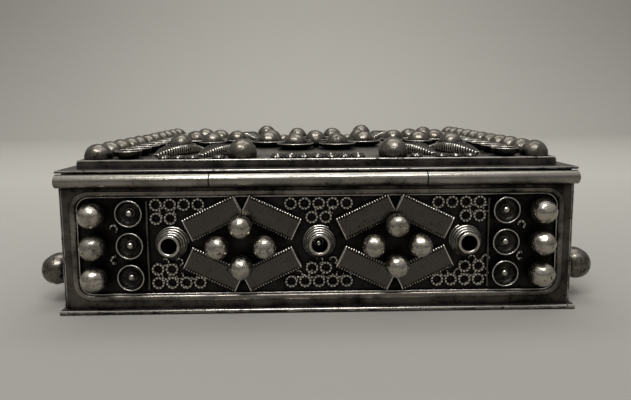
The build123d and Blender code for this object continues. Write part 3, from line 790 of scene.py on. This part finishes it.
def framePanel(low, high, windowLow, windowHigh):  # a flat frame with the window cut out of it
    thickness = high.z - low.z
    middle = (low + high) / 2
    shift = (windowLow + windowHigh) / 2 - middle
    inner = high - low - Vector((2 * frameForm["inset"], 2 * frameForm["inset"], 0))
    windowWidth, windowRise = windowHigh.x - windowLow.x, windowHigh.y - windowLow.y
    panel = flatPanel(low, high)
    editMesh(panel)
    bpy.ops.mesh.inset(thickness=frameForm["inset"])
    bpy.ops.transform.resize(value=(windowWidth / inner.x, windowRise / inner.y, 1),
                             center_override=(middle.x, middle.y, 0))
    bpy.ops.transform.translate(value=(shift.x, shift.y, 0))
    bpy.ops.mesh.delete(type="FACE")
    bpy.ops.mesh.select_all(action="SELECT")
    bpy.ops.mesh.extrude_region_move(TRANSFORM_OT_translate={"value": (0, 0, thickness)})
    leaveEdit()
    outwards(panel)
    inside = windowWidth / 2 + frameForm["cornerSlack"]
    selectWhere(panel, "edges", lambda edge: span(panel, edge, 2) > thickness / 2
                and all(abs(panel.data.vertices[i].co.x - middle.x) < inside for i in edge.vertices))
    bpy.ops.mesh.bevel(offset=frameForm["corner"], segments=frameForm["cornerSegments"], affect="EDGES")
    leaveEdit()
    coat(panel, frameSilver, edgeSilver)
    addModifier(panel, "BEVEL", width=frameForm["edge"], segments=frameForm["edgeSegments"],
                limit_method="ANGLE", angle_limit=math.radians(frameForm["edgeAngle"]), material=1)
    return panel


def wallFrame(wall):
    turn = faceTurn(wall, Vector((-1, 0, 0)) if wall.startswith("left") else Vector((1, 0, 0)))
    low, high = localBox(wall + "_frame", turn)
    windowLow, windowHigh = localBox(wall + "_bead", turn)
    place = Matrix.Translation(turn @ Vector((0, 0, low.z))) @ turn
    panel = framePanel(low, high, windowLow, windowHigh)
    panel.data.transform(place)
    panel.name = dashed(wall) + "-frame"
    smooth(panel, frameForm["smooth"])
    fit(panel, "box", "patina_sheet", wall + "_frame")
    outer = beadWire(windowLow, windowHigh, -beadForm["out"], beadForm["wire"], beadForm["rise"], beadSilver)
    lower = beadWire(windowLow, windowHigh, beadForm["innerInset"], beadForm["innerWire"],
                     beadForm["innerRise"], rimSilver)
    bead = joined([outer, lower], dashed(wall) + "-bead")
    bead.data.transform(place)
    smooth(bead, beadForm["smooth"])
    fit(bead, "box", "silver_wire", wall + "_bead")


for wall in ("hinge_wall", "front_wall", "left_wall", "right_wall"):
    wallFrame(wall)
print("frames set out")


# base plate and lid plates: hand-cut sheet with edges worn bright, partly a painted highlight along them
plateForm = {"base_plate": {"edge": 0.34 * mm, "body": "box", "silver": baseSilver},
             "lid_flange": {"edge": 0.2 * mm, "body": "lid", "silver": lidSilver},
             "lid_top_plate": {"edge": 0.24 * mm, "body": "lid", "silver": lidSilver}}
for nodeName, form in plateForm.items():
    low, high = (Vector(corner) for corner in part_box(nodeName))
    bpy.ops.mesh.primitive_cube_add(size=1, location=(low + high) / 2)
    plate = fresh(high - low)
    coat(plate, form["silver"], edgeSilver)
    addModifier(plate, "BEVEL", width=form["edge"], segments=frameForm["edgeSegments"], material=1)
    plate.name = dashed(nodeName)
    smooth(plate, frameForm["smooth"])
    fit(plate, form["body"], "patina_sheet", nodeName)
print("plates set out")


# what keeps its CAD shape gets its finish
for nodeName in ("hinge_wall", "front_wall", "left_wall", "right_wall", "lid_inner_rim",
                 "hinge_wall_ball_seats", "front_wall_ball_seats", "end_wall_ball_seats",
                 "corner_ball_seats"):
    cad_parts[nodeName].data.materials[0] = sheetSilver
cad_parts["lid_step_band"].data.materials[0] = lidSilver
for nodeName in ("hinge_knuckle_left", "hinge_knuckle_right", "lid_knuckle", "hinge_pin"):
    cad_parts[nodeName].data.materials[0] = hingeSilver
print("sheets finished")


# stage, light and camera
def fade(tree, coordinate, axis, form):  # one tone turns into another along an axis
    coords = addNode(tree, "TexCoord")
    place = addNode(tree, "SeparateXYZ")
    wire(tree, coords, coordinate, place, "Vector")
    share = addNode(tree, "MapRange", {"From Min": form["from"], "From Max": form["to"]})
    wire(tree, place, axis, share, "Value")
    tone = addNode(tree, "Mix", {"A": (*form["start"], 1), "B": (*form["end"], 1)}, data_type="RGBA")
    wire(tree, share, "Result", tone, "Factor")
    return tone


stageForm = {"size": 1.6, "round": 0.25, "roundSegments": 12, "smooth": 60, "roughness": 0.9, "specular": 0.1,
             "start": (0.27, 0.26, 0.24), "end": (0.43, 0.415, 0.382), "from": -0.09, "to": 0.16}
bpy.ops.mesh.primitive_plane_add(size=stageForm["size"], location=(0, 0, 0))
floor = fresh()
selectWhere(floor, "edges", lambda edge: all(floor.data.vertices[i].co.y > 0 for i in edge.vertices))
bpy.ops.mesh.extrude_region_move(TRANSFORM_OT_translate={"value": (0, 0, stageForm["size"])})
leaveEdit()
selectWhere(floor, "edges", lambda edge: all(floor.data.vertices[i].co.y > 0 for i in edge.vertices)
            and all(floor.data.vertices[i].co.z < stageForm["size"] / 2 for i in edge.vertices))
bpy.ops.mesh.bevel(offset=stageForm["round"], segments=stageForm["roundSegments"])
leaveEdit()
floor.name = "floor"
smooth(floor, stageForm["smooth"])
paper = bpy.data.materials.new("paper")
paper.use_nodes = True
paperShader = paper.node_tree.nodes["Principled BSDF"]
paperTone = fade(paper.node_tree, "Object", "Y", stageForm)  # the paper is greyer at its near end: painted shade towards the camera
wire(paper.node_tree, paperTone, "Result", paperShader, "Base Color")
paperShader.inputs["Roughness"].default_value = stageForm["roughness"]
paperShader.inputs["Specular IOR Level"].default_value = stageForm["specular"]
coat(floor, paper)

skyForm = {"start": (0.16, 0.155, 0.15), "end": (0.72, 0.705, 0.68), "from": 0.0, "to": 0.75,
           "strength": 0.75}
world = bpy.data.worlds.new("studio")
scene.world = world
world.use_nodes = True
background = world.node_tree.nodes["Background"]
skyTone = fade(world.node_tree, "Generated", "Z", skyForm)  # the room is dim at eye level and light overhead
wire(world.node_tree, skyTone, "Result", background, "Color")
background.inputs["Strength"].default_value = skyForm["strength"]

boxMiddle, backdropMiddle = (0, 0, 0.02), (0.0, 0.75, 0.35)
lampForms = [
    {"name": "leftWindow", "place": (-0.11, -0.26, 0.46), "size": 0.13, "power": 0.88, "target": boxMiddle},
    {"name": "rightWindow", "place": (0.07, -0.26, 0.46), "size": 0.13, "power": 0.76, "target": boxMiddle},
    {"name": "ceiling", "place": (0.05, 0.10, 0.7), "size": 0.8, "power": 1.5, "target": boxMiddle},
    {"name": "backdropLamp", "place": (0.0, 0.25, 0.75), "size": 0.6, "power": 3.2, "target": backdropMiddle},
]
for form in lampForms:
    bpy.ops.object.light_add(type="AREA", location=form["place"])
    lamp = bpy.context.active_object
    lamp.name = form["name"]
    lamp.data.size = form["size"]
    lamp.data.energy = form["power"]
    aim = Vector(form["target"]) - Vector(form["place"])
    lamp.rotation_euler = aim.to_track_quat("-Z", "Y").to_euler()

# the camera's angles are in degrees, and its focal length and axis in pixels of the image
cameraForm = {"place": (-2.28 * mm, -151.37 * mm, 49.37 * mm), "yaw": 0.859, "pitch": 5.652, "roll": 0.406,
              "focalPixels": 474.0, "axisRow": 150.63, "imageWidth": 631, "imageHeight": 400, "sensor": 36.0,
              "clip": 5 * mm}
yaw, pitch, roll = (math.radians(cameraForm[name]) for name in ("yaw", "pitch", "roll"))
level = Vector((math.sin(yaw), math.cos(yaw), 0))
side = Vector((math.cos(yaw), -math.sin(yaw), 0))
upright = Vector((0, 0, 1))
forward = level * math.cos(pitch) - upright * math.sin(pitch)
above = level * math.sin(pitch) + upright * math.cos(pitch)
right = side * math.cos(roll) - above * math.sin(roll)
top = side * math.sin(roll) + above * math.cos(roll)
bpy.ops.object.camera_add(location=cameraForm["place"])
camera = bpy.context.active_object
camera.rotation_euler = Matrix((right, top, -forward)).transposed().to_euler()
camera.data.sensor_width = cameraForm["sensor"]
camera.data.lens = cameraForm["focalPixels"] / cameraForm["imageWidth"] * cameraForm["sensor"]
camera.data.shift_y = (cameraForm["axisRow"] - cameraForm["imageHeight"] / 2) / cameraForm["imageWidth"]
camera.data.clip_start = cameraForm["clip"]
scene.camera = camera
print("stage, light and camera ready")

clearSelection()
